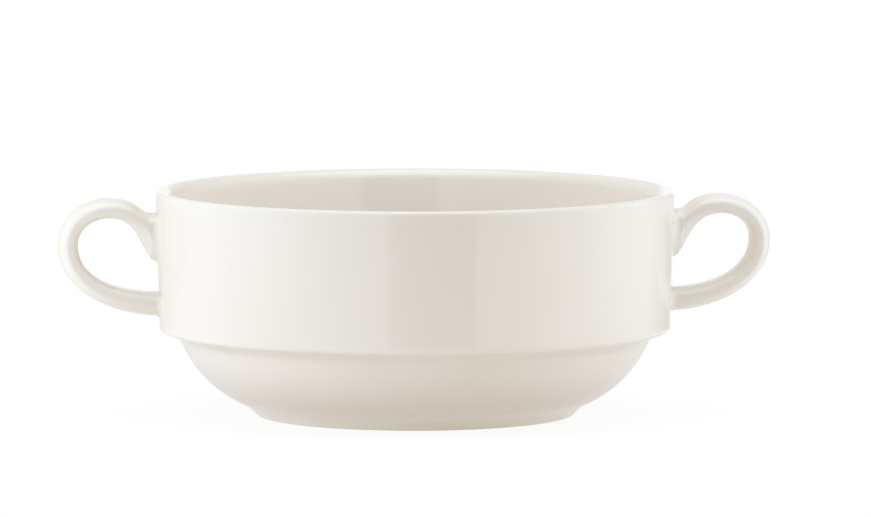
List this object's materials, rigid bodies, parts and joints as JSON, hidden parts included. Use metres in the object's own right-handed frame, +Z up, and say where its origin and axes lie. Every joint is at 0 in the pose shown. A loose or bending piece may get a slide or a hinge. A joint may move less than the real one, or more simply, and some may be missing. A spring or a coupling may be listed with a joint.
{
  "type": "consomme bowl",
  "caption": "Stacking consomme bowl in cream glazed porcelain: upright band over a stacking ledge, rounded lower bowl, foot ring, and looped strap handles luted on with slip.",
  "frame": {"origin": "centre of the foot ring, in the plane that stands on the table", "axes": "+Z up along the bowl's turning axis, +X out through the right handle, -Y towards the viewer"},
  "size_m": [0.1516, 0.11, 0.0477],
  "materials": {
    "glazed_porcelain": "cream porcelain under a clear gloss glaze, bare only on the standing edge of the foot",
    "glazed_slip": "fired luting slip under the same clear gloss glaze"
  },
  "bodies": {
    "root": {"bowl_body": "glazed_porcelain", "left_handle": "glazed_porcelain", "right_handle": "glazed_porcelain", "left_upper_slip": "glazed_slip", "left_lower_slip": "glazed_slip", "right_upper_slip": "glazed_slip", "right_lower_slip": "glazed_slip"}
  },
  "joints": []
}
